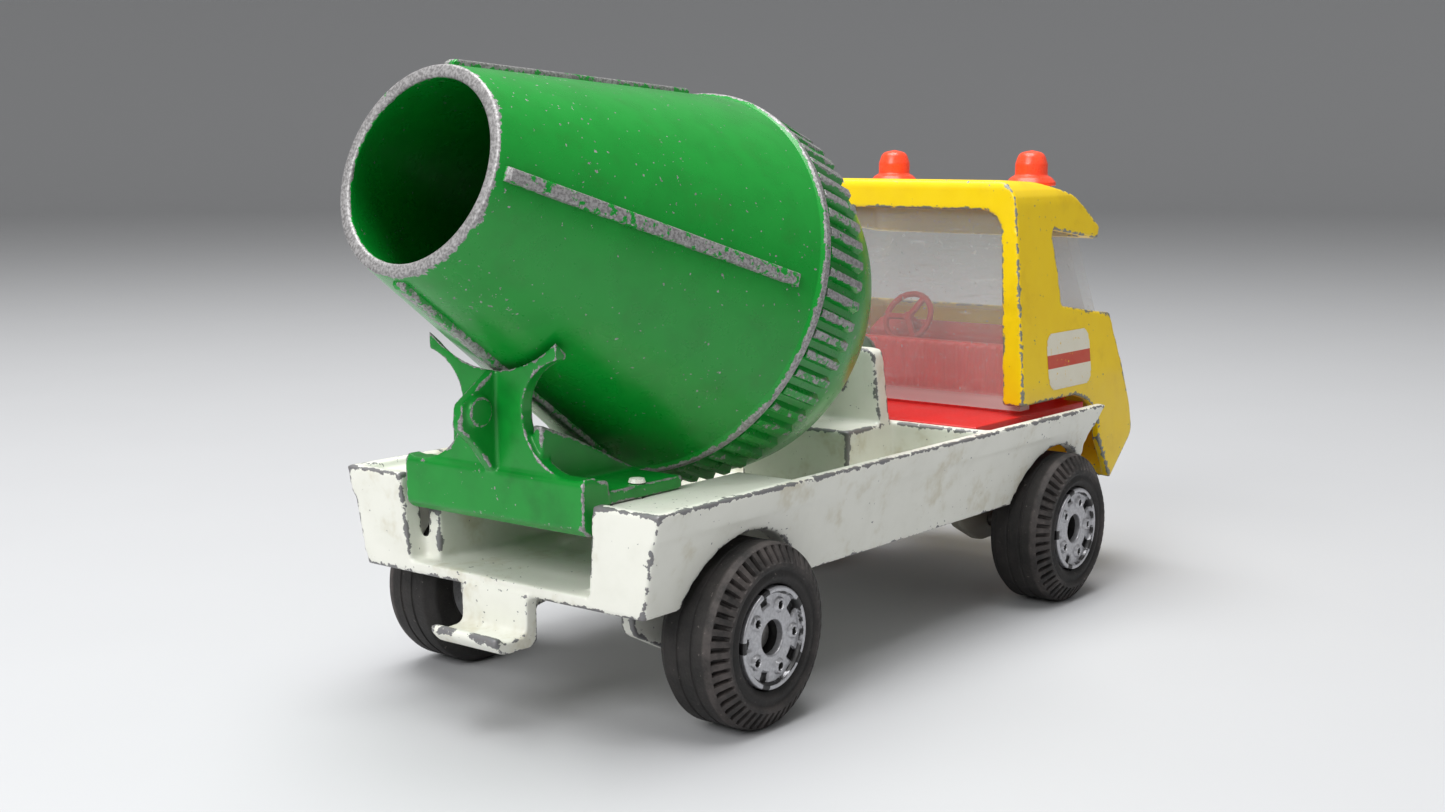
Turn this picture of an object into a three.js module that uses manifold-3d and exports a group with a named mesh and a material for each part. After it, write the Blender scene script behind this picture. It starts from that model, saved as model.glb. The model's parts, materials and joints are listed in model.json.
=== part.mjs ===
// Die-cast toy cement mixer lorry: white chassis, green mixer drum on a cast stand, yellow cab.
// Millimetres, +X forwards, +Y left, +Z up. The origin is on the ground under the middle of the length.

import * as THREE from "three";
import { mergeVertices } from "three/addons/utils/BufferGeometryUtils.js";
import Module from "manifold-3d";

const wasm = await Module();
wasm.setup();

// ---- driving dimensions ----
// Lengths along X are counted from the rear axle; the whole model is then moved back by MID_LENGTH.
const MID_LENGTH = 33.8;
const WHEELBASE = 68;

const TYRE_RADIUS = 10;
const TYRE_WIDTH = 8.25;
const TYRE_FACE_Y = 25.06;
const HUB_RADIUS = 5.5;
const HUB_RECESS = 0.75;
const AXLE_RADIUS = 1.2;
const AXLE_HEAD_RADIUS = 1.55;
const AXLE_HEAD_LENGTH = 0.6;
const AXLE_HEAD_DEPTH = 2.2;
const AXLE_HEAD_GAP = 0.2;
const RUNNING_RADIUS = 1.3;
const BOLT_COUNT = 5;

const BED_REAR_X = -16.5;
const BED_FRONT_X = 48;
const BED_BOTTOM_Z = 14.3;
const BED_TOP_Z = 25.4;
const BED_BOTTOM_HALF = 20.4;
const BED_TOP_HALF = 22.97;
const RIM_CREASE_Z = 22.5;
const RIM_STEP = 0.3;
const WALL = 1.6;
const FLOOR = 1.4;
const ARCH_RADIUS = 11;
const WELL_TOP_Z = 24.5;
const WELL_FRONT_X = 11.4;
const WELL_WALL = 1.2;
const WELL_INNER_Y = 11.2;
const LUG_THICKNESS = 1.8;
const LUG_HALF_LENGTH = 9;
const WALL_TIP_X = 80.5;
const NOSE_TONGUE_HALF = 13;

const FORK_X = 45;
const FORK_THICKNESS = 2.5;
const FORK_GAP_HALF = 3;
const FORK_HALF = 8.4;
const FORK_TOP_Z = 35;

const DRUM_TILT = THREE.MathUtils.degToRad(19.18);
const DRUM_MOUTH = new THREE.Vector3(-25.65, 0, 58.55);
const MOUTH_RADIUS = 10.85;
const DRUM_WALL = 1.42;
const CONE_LENGTH = 39.3;
const CONE_END_RADIUS = 22.0;
const BEAD_RADIUS = 22.5;
const BEAD_LENGTH = 0.9;
const BAND_START = 40.6;
const BAND_END = 47.1;
const BAND_RADIUS = 22.4;
const RIB_COUNT = 60;
const RIB_DEPTH = 0.75;
const DOME_RADIUS = 21.0;
const DOME_HEIGHT = 17;
const BAR_START = 1.0;
const BAR_END = 36.2;
const BAR_WIDTH = 1.45;
const BAR_HEIGHT = 0.62;
const STUB_RADIUS = 2.75;
const STUB_END = 79.5;
const SPINDLE_RADIUS = 1.2;
const SPIGOT_LENGTH = 2.4;
const SPIGOT_WALL = 1.1;
const JOINT_GAP = 0.3;

const STAND_HALF = 13.1;
const STAND_BEAM_DEPTH = 4;
const STAND_PLATE_TOP_Z = 26;
const STAND_UPRIGHT_SETBACK = 0.4;
const CRADLE_CLEARANCE = 0.95;
const PEG_RADIUS = 0.5;
const PEG_X = -7;
const PEG_Y = 12.0;

const RIVET_RADIUS = 1.0;
const RIVET_GAP = 0.1;
const CARRIER_RIVET_X = 56.5;
const CAB_RIVET_X = 83.4;
const CARRIER_TOP_Z = BED_BOTTOM_Z - RIVET_GAP;
const CARRIER_THICKNESS = 1.3;

const CAB_REAR_X = 60.8;
const CAB_HALF = 20.2;
const CAB_WALL = 1.3;
const CAB_BOW = 2.5;
const GLASS_THICKNESS = 1.0;
const GLASS_INSET = CAB_WALL + JOINT_GAP;
const BEACON_X = 78.1;
const BEACON_Y = 11.3;
const BEACON_SEAT_Z = 53.4;
const INTERIOR_HALF = 19.6;
const PLEAT_PITCH = 1.6;
const PLEAT_COUNT = 19;
const STEERING_COLUMN_RADIUS = 0.7;
const STEERING_RIM_RADIUS = 3.7;

// ---- shape helpers ----

/** Turns a closed three.js geometry into a manifold solid. */
function solid(geometry) {
  const bare = new THREE.BufferGeometry();
  bare.setAttribute("position", geometry.attributes.position);
  if (geometry.index) bare.setIndex(geometry.index);
  const merged = mergeVertices(bare, 1e-4);
  const corners = merged.index.array;
  const triangles = [];
  for (let i = 0; i < corners.length; i += 3) {
    const [a, b, c] = corners.subarray(i, i + 3);
    if (a !== b && b !== c && c !== a) triangles.push(a, b, c);
  }
  const mesh = new wasm.Mesh({
    numProp: 3,
    vertProperties: new Float32Array(merged.attributes.position.array),
    triVerts: new Uint32Array(triangles),
  });
  return new wasm.Manifold(mesh);
}

/** Gives the triangles of a manifold solid back as a three.js geometry. */
function geometryOf(body) {
  const mesh = body.getMesh();
  const geometry = new THREE.BufferGeometry();
  geometry.setAttribute("position", new THREE.BufferAttribute(mesh.vertProperties, 3));
  geometry.setIndex(new THREE.BufferAttribute(mesh.triVerts, 1));
  geometry.computeVertexNormals();
  return geometry;
}

const join = (first, ...others) => others.reduce((whole, part) => whole.add(part), first);
const cut = (first, ...others) => others.reduce((whole, part) => whole.subtract(part), first);

/** Closed outline from corners [a, b, radius]; a corner with a radius is rounded by an arc. */
function outline(corners, steps = 5) {
  const at = (i) => {
    const [a, b] = corners[(i + corners.length) % corners.length];
    return new THREE.Vector2(a, b);
  };
  return corners.flatMap(([, , radius = 0], i) => {
    const corner = at(i);
    if (radius === 0) return [corner];
    const back = at(i - 1).sub(corner).normalize();
    const ahead = at(i + 1).sub(corner).normalize();
    const half = Math.acos(THREE.MathUtils.clamp(back.dot(ahead), -1, 1)) / 2;
    const middle = back.clone().add(ahead).normalize();
    const centre = corner.clone().addScaledVector(middle, radius / Math.sin(half));
    const start = corner.clone().addScaledVector(back, radius / Math.tan(half)).sub(centre);
    const end = corner.clone().addScaledVector(ahead, radius / Math.tan(half)).sub(centre);
    const sweep = Math.atan2(start.cross(end), start.dot(end));
    return Array.from({ length: steps + 1 }, (_, step) =>
      start.clone().rotateAround(new THREE.Vector2(), (sweep * step) / steps).add(centre));
  });
}

/** Points of an arc about [a, b], from one angle to another in degrees. */
function arc(a, b, radius, from, to, steps = 8) {
  return Array.from({ length: steps + 1 }, (_, step) => {
    const angle = THREE.MathUtils.degToRad(from + ((to - from) * step) / steps);
    return [a + radius * Math.cos(angle), b + radius * Math.sin(angle)];
  });
}

const AXES = {
  x: [[0, 1, 0], [0, 0, 1], [1, 0, 0]],
  y: [[1, 0, 0], [0, 0, 1], [0, -1, 0]],
  z: [[1, 0, 0], [0, 1, 0], [0, 0, 1]],
};

/** Geometry of an outline swept along an axis: (y, z) along x, (x, z) along y or (x, y) along z. */
function sweptGeometry(axis, points, from, to, steps = 1) {
  const shape = new THREE.Shape(points);
  const geometry = new THREE.ExtrudeGeometry(shape, { depth: to - from, bevelEnabled: false, steps });
  const [u, v, w] = AXES[axis].map((direction) => new THREE.Vector3(...direction));
  geometry.applyMatrix4(new THREE.Matrix4().makeBasis(u, v, w));
  const start = axis === "y" ? new THREE.Vector3(0, to, 0) : w.clone().multiplyScalar(from);
  geometry.translate(start.x, start.y, start.z);
  return geometry;
}

const prism = (axis, corners, from, to) => solid(sweptGeometry(axis, outline(corners), from, to));

/** Rectangular block between two corners. */
function block([x0, x1], [y0, y1], [z0, z1]) {
  const geometry = new THREE.BoxGeometry(x1 - x0, y1 - y0, z1 - z0);
  geometry.translate((x0 + x1) / 2, (y0 + y1) / 2, (z0 + z1) / 2);
  return solid(geometry);
}

/** Solid of revolution about +Z from points [radius, z] that enclose its section anticlockwise. */
function turned(points, segments = 40) {
  const closed = [...points, points[0]].map(([radius, z]) => new THREE.Vector2(radius, z));
  const geometry = new THREE.LatheGeometry(closed, segments);
  geometry.rotateX(Math.PI / 2);
  return solid(geometry);
}

/** Round bar along +Z. */
const rod = (radius, from, to, segments = 20) =>
  turned([[0, from], [radius, from], [radius, to], [0, to]], segments);

const alongY = (body) => body.rotate([-90, 0, 0]);
const mirrored = (body) => body.mirror([0, 1, 0]);
const bothSides = (body) => join(body, mirrored(body));

// ---- materials ----

function paint(color, roughness, metalness, opacity = 1) {
  return new THREE.MeshStandardMaterial({ color, roughness, metalness, opacity, transparent: opacity < 1 });
}

const whitePaint = () => paint(0xe1e2da, 0.45, 0.1);
const greenPaint = () => paint(0x1f9a3c, 0.35, 0.1);
const yellowPaint = () => paint(0xebc816, 0.4, 0.1);
const redPlastic = () => paint(0xc81e19, 0.4, 0);
const beaconPlastic = () => paint(0xff5a3c, 0.3, 0);
const clearPlastic = () => paint(0xe8eef0, 0.1, 0, 0.35);
const blackRubber = () => paint(0x232120, 0.8, 0);
const silverPlastic = () => paint(0xb4b4b4, 0.35, 0.7);
const bareSteel = () => paint(0x8c8c8c, 0.35, 0.9);
const greyPlate = () => paint(0xa8a498, 0.6, 0.2);

function piece(name, body, material) {
  const mesh = new THREE.Mesh(geometryOf(body), material);
  mesh.name = name;
  return mesh;
}

// ---- chassis ----

const wallHalfAt = (z) =>
  BED_BOTTOM_HALF + ((BED_TOP_HALF - BED_BOTTOM_HALF) * (z - BED_BOTTOM_Z)) / (BED_TOP_Z - BED_BOTTOM_Z);

/** Full outer volume of the chassis between two X, with slanted sides and a proud rim. */
function outerBody(from, to) {
  const creaseHalf = wallHalfAt(RIM_CREASE_Z);
  const right = [
    [BED_BOTTOM_HALF, BED_BOTTOM_Z],
    [creaseHalf - RIM_STEP, RIM_CREASE_Z - RIM_STEP],
    [creaseHalf, RIM_CREASE_Z],
    [BED_TOP_HALF, BED_TOP_Z],
  ];
  const left = right.map(([y, z]) => [-y, z]).reverse();
  return prism("x", [...right, ...left], from, to);
}

/** Channel with slanted walls, open at the top and ending in points ahead of the front wheels. */
function channel() {
  const wallEnd = [
    [BED_REAR_X + 0.6, BED_BOTTOM_Z - 1],
    [BED_REAR_X, BED_TOP_Z + 1],
    [WALL_TIP_X, BED_TOP_Z + 1],
    [76.4, 20.2],
    [76.4, BED_BOTTOM_Z - 1],
  ];
  const body = outerBody(BED_REAR_X - 1, 90);
  const inside = prism("x", [
    [BED_BOTTOM_HALF - WALL, BED_BOTTOM_Z + FLOOR],
    [BED_TOP_HALF - WALL + 0.25, BED_TOP_Z + 1],
    [WALL - BED_TOP_HALF - 0.25, BED_TOP_Z + 1],
    [WALL - BED_BOTTOM_HALF, BED_BOTTOM_Z + FLOOR],
  ], BED_REAR_X + WALL, 95);
  return cut(body.intersect(prism("y", wallEnd, -30, 30)), inside);
}

/** Window between the two rear corner posts. */
const rearOpening = () => prism("x", [
  [13.2, BED_BOTTOM_Z + FLOOR],
  [14.3, BED_TOP_Z + 1],
  [-14.3, BED_TOP_Z + 1],
  [-13.2, BED_BOTTOM_Z + FLOOR],
], BED_REAR_X - 2, BED_REAR_X + 3);

/** Box over the left rear wheel, from the rear post forwards; its inner wall carries the axle lug. */
const wheelWell = () => block([BED_REAR_X + WALL / 2, WELL_FRONT_X], [WELL_INNER_Y, BED_TOP_HALF],
  [BED_BOTTOM_Z, WELL_TOP_Z]).intersect(outerBody(BED_REAR_X, WELL_FRONT_X));

const wellHollow = () => block([BED_REAR_X + WALL + WELL_WALL, WELL_FRONT_X - WELL_WALL],
  [WELL_INNER_Y + LUG_THICKNESS, BED_BOTTOM_HALF - WALL], [0, WELL_TOP_Z - WELL_WALL]);

/** Room for the ends of the stand's beam between the rear posts and the wells. */
const beamNotch = () => block([BED_REAR_X - 1, BED_REAR_X + STAND_BEAM_DEPTH + JOINT_GAP],
  [-STAND_HALF - JOINT_GAP, STAND_HALF + JOINT_GAP], [21.5, 30]);

/** Hanging lug that carries an axle, with its running hole, at one X. */
function axleLug(x, top) {
  const lug = prism("y", [
    [x - LUG_HALF_LENGTH, top],
    [x - LUG_HALF_LENGTH, 10.2, 2],
    [x - 3, 7.2, 2],
    [x + 3, 7.2, 2],
    [x + LUG_HALF_LENGTH, 10.2, 2],
    [x + LUG_HALF_LENGTH, top],
  ], WELL_INNER_Y, WELL_INNER_Y + LUG_THICKNESS);
  return cut(lug, alongY(rod(RUNNING_RADIUS, -30, 30)).translate([x, 0, TYRE_RADIUS]));
}

const wheelArch = (x) => alongY(rod(ARCH_RADIUS, 15.4, 30, 40)).translate([x, 0, TYRE_RADIUS]);

/** Drop plate under the rear edge with an upturned foot. */
const towHook = () => prism("y", [
  [BED_REAR_X + 0.1, BED_BOTTOM_Z + 0.4],
  [BED_REAR_X + 0.1, 10.5, 0.8],
  [-19.2, 10.2, 1.2],
  [-20.6, 11.2, 0.4],
  [-21.2, 10.4, 0.6],
  [-19.9, 9.0, 1],
  [BED_REAR_X + 1.8, 9.0, 0.8],
  [BED_REAR_X + 1.8, BED_BOTTOM_Z + 0.4],
], -4.8, 4.8);

/** Block at the front of the bed that carries the fork for the drum's stub. */
function bearingBracket() {
  const pedestal = block([37.5, FORK_X + FORK_THICKNESS], [-FORK_HALF, FORK_HALF], [BED_BOTTOM_Z, BED_TOP_Z]);
  const fork = prism("x", [
    [FORK_HALF, BED_TOP_Z - 1],
    [FORK_HALF - 1.4, FORK_TOP_Z, 1.2],
    [FORK_GAP_HALF, FORK_TOP_Z],
    [FORK_GAP_HALF, 29.4, 1.5],
    [-FORK_GAP_HALF, 29.4, 1.5],
    [-FORK_GAP_HALF, FORK_TOP_Z],
    [1.4 - FORK_HALF, FORK_TOP_Z, 1.2],
    [-FORK_HALF, BED_TOP_Z - 1],
  ], FORK_X, FORK_X + FORK_THICKNESS);
  return join(pedestal, fork);
}

function chassis() {
  const frontWall = outerBody(BED_FRONT_X, BED_FRONT_X + WALL);
  const tongue = block([70, 85.6], [-NOSE_TONGUE_HALF, NOSE_TONGUE_HALF], [BED_BOTTOM_Z, BED_BOTTOM_Z + FLOOR]);
  const seatWeb = block([53, 54.4], [-14, 14], [BED_BOTTOM_Z, 24]);
  const frontSpace = block([57.4, 90], [NOSE_TONGUE_HALF, 17], [0, BED_BOTTOM_Z + FLOOR + 0.2]);
  const body = join(channel(), tongue, seatWeb, frontWall, bothSides(wheelWell()), towHook(), bearingBracket());
  const opened = cut(
    body,
    rearOpening(),
    bothSides(wellHollow()),
    beamNotch(),
    bothSides(wheelArch(0)),
    bothSides(wheelArch(WHEELBASE)),
    bothSides(frontSpace),
  );
  const boss = rod(2.4, BED_BOTTOM_Z, 22).translate([CARRIER_RIVET_X, 0, 0]);
  const whole = join(opened, bothSides(axleLug(0, WELL_TOP_Z - 2)), boss);
  return cut(
    whole,
    rod(RIVET_RADIUS + RIVET_GAP, 0, 20.5).translate([CARRIER_RIVET_X, 0, 0]),
    rod(RIVET_RADIUS + RIVET_GAP, 0, 20).translate([CAB_RIVET_X, 0, 0]),
    pegHoles(),
  );
}

/** Holes for the two pegs that hold the mixer stand to the wells. */
const pegHoles = () => bothSides(rod(PEG_RADIUS + RIVET_GAP, 20, 30, 12).translate([PEG_X, PEG_Y, 0]));

/** Grey plate under the cab that carries the front axle. */
function frontAxleCarrier() {
  const plate = block([54, 85], [-NOSE_TONGUE_HALF + 0.5, NOSE_TONGUE_HALF - 0.5],
    [CARRIER_TOP_Z - CARRIER_THICKNESS, CARRIER_TOP_Z]);
  const lugs = bothSides(axleLug(WHEELBASE, CARRIER_TOP_Z).translate([0, -0.9, 0]));
  return cut(
    join(plate, lugs),
    ...[CARRIER_RIVET_X, CAB_RIVET_X].map((x) => rod(RIVET_RADIUS + RIVET_GAP, 0, 30).translate([x, 0, 0])),
  );
}

/** Round-headed rivet pushed up through the underside. */
const underRivet = (x, tip) => turned([
  [0, CARRIER_TOP_Z - CARRIER_THICKNESS - 1.1],
  [1.5, CARRIER_TOP_Z - CARRIER_THICKNESS - 0.9],
  [2.2, CARRIER_TOP_Z - CARRIER_THICKNESS - RIVET_GAP],
  [RIVET_RADIUS, CARRIER_TOP_Z - CARRIER_THICKNESS - RIVET_GAP],
  [RIVET_RADIUS, tip],
  [0, tip],
], 16).translate([x, 0, 0]);

// ---- mixer stand ----

/** Places a body made along +Z on the drum's axis. */
const onDrumAxis = (body) => body
  .rotate([0, 90 + THREE.MathUtils.radToDeg(DRUM_TILT), 0])
  .translate(DRUM_MOUTH.toArray());

/** Radius of the drum's cone at a distance from its mouth. */
const coneRadiusAt = (s) => MOUTH_RADIUS + ((CONE_END_RADIUS - MOUTH_RADIUS) * s) / (CONE_LENGTH - 0.5);

/** Right edge of the upright, from its foot in through the waist and out to the tip of a horn. */
function standWaist() {
  const centre = { y: 11.03, z: 34 };
  const halfWidth = 6.7;
  const run = (from, to, height, steps) => arc(0, 0, 1, from, to, steps)
    .map(([across, up]) => [centre.y + halfWidth * across, centre.z + height * up]);
  return [...run(287, 180, 6.5, 8), ...run(170, 106, 5.7, 6)];
}

function mixerStand() {
  const beam = prism("y", [
    [BED_REAR_X, 22.6],
    [BED_REAR_X, 27.6, 0.5],
    [BED_REAR_X + STAND_BEAM_DEPTH, 27.2, 0.5],
    [BED_REAR_X + STAND_BEAM_DEPTH, 21.8],
    [BED_REAR_X + 0.8, 21.8],
  ], -STAND_HALF, STAND_HALF);
  const plate = block([BED_REAR_X + 2, -0.6], [-STAND_HALF + 0.2, STAND_HALF - 0.2],
    [WELL_TOP_Z + 0.1, STAND_PLATE_TOP_Z]);
  const side = [[STAND_HALF, 27], ...standWaist(), [9.4, 43]];
  const upright = prism("x", [...side, ...side.map(([y, z]) => [-y, z]).reverse()],
    BED_REAR_X + STAND_UPRIGHT_SETBACK, BED_REAR_X + 2.05);
  const fin = prism("y", [
    [BED_REAR_X + 1, 37.7],
    [BED_REAR_X, 37.7],
    [-20.9, 34.7, 0.6],
    [-21.2, 32.3, 0.8],
    [-18.8, 30.1, 3],
    [-16.7, 27.4],
    [BED_REAR_X + 1, 27.4],
  ], -0.65, 0.65);
  const boss = alongY(rod(1.6, -1.15, 1.15, 16)).translate([-18.6, 0, 33.8]);
  const gusset = prism("y", [
    [BED_REAR_X + 1, 25.4], [BED_REAR_X + 1, 32.6], [-11, 30.9, 1], [-0.8, 26.1], [-0.8, 25.4],
  ], 5.3, 6.6);
  const body = join(beam, plate, upright, fin, boss, bothSides(gusset));
  const drumSweep = onDrumAxis(turned([
    [0, -2],
    [coneRadiusAt(-2) + CRADLE_CLEARANCE, -2],
    [coneRadiusAt(CONE_LENGTH) + CRADLE_CLEARANCE, CONE_LENGTH],
    [0, CONE_LENGTH],
  ], 72));
  return cut(body, drumSweep, pegHoles());
}

/** Headed peg through the stand's plate into the top of a well. */
const standRivet = (side) => turned([
  [0, 23.6],
  [PEG_RADIUS, 23.6],
  [PEG_RADIUS, STAND_PLATE_TOP_Z + RIVET_GAP],
  [0.95, STAND_PLATE_TOP_Z + RIVET_GAP],
  [0.8, STAND_PLATE_TOP_Z + 0.5],
  [0, STAND_PLATE_TOP_Z + 0.6],
], 12).translate([PEG_X, side * PEG_Y, 0]);

// ---- drum, made along +Z from its mouth ----

function drumCone() {
  const inner = (radius) => radius - DRUM_WALL;
  const shell = turned([
    [inner(MOUTH_RADIUS), 0],
    [MOUTH_RADIUS, 0],
    [CONE_END_RADIUS, CONE_LENGTH - 0.5],
    [BEAD_RADIUS, CONE_LENGTH],
    [BEAD_RADIUS, CONE_LENGTH + BEAD_LENGTH],
    [inner(CONE_END_RADIUS), CONE_LENGTH + BEAD_LENGTH],
    [inner(CONE_END_RADIUS), CONE_LENGTH],
  ], 64);
  const bar = prism("y", [
    [coneRadiusAt(BAR_START) - 0.6, BAR_START],
    [coneRadiusAt(BAR_START) + BAR_HEIGHT, BAR_START],
    [coneRadiusAt(BAR_END) + BAR_HEIGHT, BAR_END],
    [coneRadiusAt(BAR_END) - 0.6, BAR_END],
  ], -BAR_WIDTH / 2, BAR_WIDTH / 2);
  return join(shell, ...[0, 90, 180, 270].map((angle) => bar.rotate([0, 0, angle])));
}

/** Ribbed band, dome and stub shaft that close the drum. */
function drumBase() {
  const grooveRadius = BAND_RADIUS - RIB_DEPTH;
  const pitch = (2 * Math.PI) / RIB_COUNT;
  const ribbed = Array.from({ length: RIB_COUNT }, (_, rib) =>
    [[-0.3, grooveRadius], [-0.17, BAND_RADIUS], [0.17, BAND_RADIUS], [0.3, grooveRadius]]
      .map(([part, radius]) => [radius * Math.cos((rib + part) * pitch), radius * Math.sin((rib + part) * pitch)]),
  ).flat();
  const band = prism("z", ribbed, BAND_START, BAND_END);
  const dome = (radius, height, start) => Array.from({ length: 6 }, (_, step) => {
    const angle = (step / 6) * (Math.PI / 2);
    return [radius * Math.cos(angle), start + height * Math.sin(angle)];
  });
  const outer = turned([
    [0, BAND_END - 1],
    [DOME_RADIUS, BAND_END - 1],
    ...dome(DOME_RADIUS, DOME_HEIGHT, BAND_END),
    [STUB_RADIUS, BAND_END + DOME_HEIGHT - 0.3],
    [STUB_RADIUS, STUB_END],
    [0, STUB_END],
  ], 36);
  const spigotStart = CONE_LENGTH - SPIGOT_LENGTH;
  const spigotStartRadius = coneRadiusAt(spigotStart) - DRUM_WALL - JOINT_GAP - 0.1;
  const spigotEndRadius = CONE_END_RADIUS - DRUM_WALL - JOINT_GAP;
  const spigot = turned([
    [0, spigotStart],
    [spigotStartRadius, spigotStart],
    [spigotEndRadius, CONE_LENGTH],
    [spigotEndRadius, BAND_START + 1],
    [0, BAND_START + 1],
  ], 36);
  const hollow = turned([
    [0, spigotStart - 1],
    [spigotStartRadius - SPIGOT_WALL, spigotStart - 1],
    [spigotStartRadius - SPIGOT_WALL, BAND_END],
    ...dome(DOME_RADIUS - DRUM_WALL, DOME_HEIGHT - DRUM_WALL, BAND_END).slice(1),
    [0, BAND_END + DOME_HEIGHT - DRUM_WALL],
  ], 30);
  const bore = rod(SPINDLE_RADIUS + 0.15, BAND_END, STUB_END + 1);
  return cut(join(band, outer, spigot), hollow, bore);
}

/** Headed pin along the stub; its far head holds the washer against the stub's end. */
const drumSpindle = () => turned([
  [0, 60.9],
  [2.4, 60.9],
  [2.4, 62.0],
  [SPINDLE_RADIUS, 62.0],
  [SPINDLE_RADIUS, STUB_END + 1.2],
  [2.3, STUB_END + 1.2],
  [1.7, STUB_END + 2.0],
  [0, STUB_END + 2.2],
], 20);

const spindleWasher = () => turned([
  [SPINDLE_RADIUS + 0.15, STUB_END + 0.15],
  [4.3, STUB_END + 0.15],
  [4.3, STUB_END + 0.95],
  [SPINDLE_RADIUS + 0.15, STUB_END + 0.95],
], 24);

// ---- cab ----

/** Side outline of the cab in three runs, front corners as they are at the sides. */
const CAB_ROOF = [
  [CAB_REAR_X, 26.8],
  [62.2, 56.4, 1],
  [70.5, 56.0, 12],
  [78, 54.4, 8],
];
const CAB_VISOR = [
  [81.5, 52.2, 5],
  [85.2, 49.6, 0.5],
  [84.6, 48.0],
  [83.4, 47.4],
];
const CAB_NOSE = [
  [87.2, 37.4],
  [88.0, 35.2, 1.5],
  [90.9, 28.5, 12],
  [93.2, 23.8, 8],
  [94.3, 19.5, 2],
  [87.4, 13.5],
];
/** Where the windscreen's line meets the roof's line behind the visor. */
const SCREEN_HEAD = [81.6, 52.1];

/** Moves the edges of a convex-cornered outline inwards by a distance. */
function inset(corners, distance) {
  const count = corners.length;
  const edge = (i) => {
    const [a0, b0] = corners[(i + count) % count];
    const [a1, b1] = corners[(i + 1) % count];
    const length = Math.hypot(a1 - a0, b1 - b0);
    const normal = [(b1 - b0) / length, (a0 - a1) / length];
    return { normal, offset: normal[0] * a0 + normal[1] * b0 + distance };
  };
  return corners.map(([, , radius = 0], i) => {
    const before = edge(i - 1 + count);
    const after = edge(i);
    const det = before.normal[0] * after.normal[1] - before.normal[1] * after.normal[0];
    const a = (before.offset * after.normal[1] - before.normal[1] * after.offset) / det;
    const b = (before.normal[0] * after.offset - before.offset * after.normal[0]) / det;
    return [a, b, radius];
  });
}

/** The cab's outer volume, moved in by a distance and open downwards from a floor height. */
function cabVolume(distance, floorZ) {
  const shrunk = inset([...CAB_ROOF, SCREEN_HEAD, ...CAB_NOSE], distance);
  const rear = shrunk[0];
  const chin = shrunk[shrunk.length - 1];
  const profile = distance === 0
    ? [...CAB_ROOF, ...CAB_VISOR, ...CAB_NOSE, ...arc(77.6, 20.2, 5.9, -5, 70, 4), [76, 26.8]]
    : [[rear[0] - 0.3, floorZ], ...shrunk.slice(1), [chin[0], floorZ]];
  const geometry = sweptGeometry("y", outline(profile, 3), -24, 24, 8);
  const places = geometry.attributes.position;
  for (let i = 0; i < places.count; i += 1) {
    const share = THREE.MathUtils.smoothstep(places.getX(i), 72, 84);
    const across = 1 - (places.getY(i) / CAB_HALF) ** 2;
    places.setX(i, places.getX(i) + CAB_BOW * share * across);
  }
  const half = [
    [CAB_HALF - distance, Math.min(floorZ, 10) - 1],
    [CAB_HALF - distance, 29, 14],
    [17.6 - distance, 56.2 - distance, 3.5 - distance / 2],
    [0, 57.2 - distance],
  ];
  const section = [...half, ...half.slice(0, -1).map(([y, z, r]) => [-y, z, r]).reverse()];
  return solid(geometry).intersect(prism("x", section, 40, 110));
}

/** Everything ahead of the doors and between the roof and the waistline. */
const windowBand = () => prism("y", [
  [71.4, 49.7, 0.8],
  [72.6, 44],
  [73.1, 39.3, 0.8],
  [83.5, 37.8],
  [95, 36.6],
  [95, 48.2],
  [84.7, 47.9],
], -30, 30);

const rearArch = () => prism("x", [
  [17.6, 20],
  [15.6, 52.4, 3],
  [-15.6, 52.4, 3],
  [-17.6, 20],
], 55, 66);

function cabShell() {
  const shell = cut(cabVolume(0, 0), cabVolume(CAB_WALL, -5), windowBand(), rearArch());
  const boss = join(
    rod(2.3, BED_BOTTOM_Z + FLOOR + 0.3, 24).translate([CAB_RIVET_X, 0, 0]),
    block([CAB_RIVET_X, 100], [-1, 1], [18, 24]).intersect(cabVolume(0, 0)),
  );
  const seats = [-1, 1].map((side) => rod(1.5, 50, 60, 16).translate([BEACON_X, side * BEACON_Y, 0]));
  return cut(
    join(shell, boss),
    ...seats,
    rod(RIVET_RADIUS + RIVET_GAP, 0, 21.5).translate([CAB_RIVET_X, 0, 0]),
  );
}

/** Clear hood: rear pane, side windows and windscreen in one moulding. */
function cabWindow() {
  const hood = cut(cabVolume(GLASS_INSET, -5), cabVolume(GLASS_INSET + GLASS_THICKNESS, -6));
  const upper = block([55, 110], [-30, 30], [36.6, 60]);
  const rearPane = block([55, 65.6], [-30, 30], [25.9, 60]);
  const stems = [-1, 1].map((side) => rod(1.9, 40, 60, 16).translate([BEACON_X, side * BEACON_Y, 0]));
  return cut(hood.intersect(join(upper, rearPane)), ...stems);
}

/** Places a body made about +Z at the driver's steering wheel. */
const atSteeringWheel = (body) => body.rotate([0, -62, 0]).translate([76.2, 7.3, 36.0]);

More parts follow.
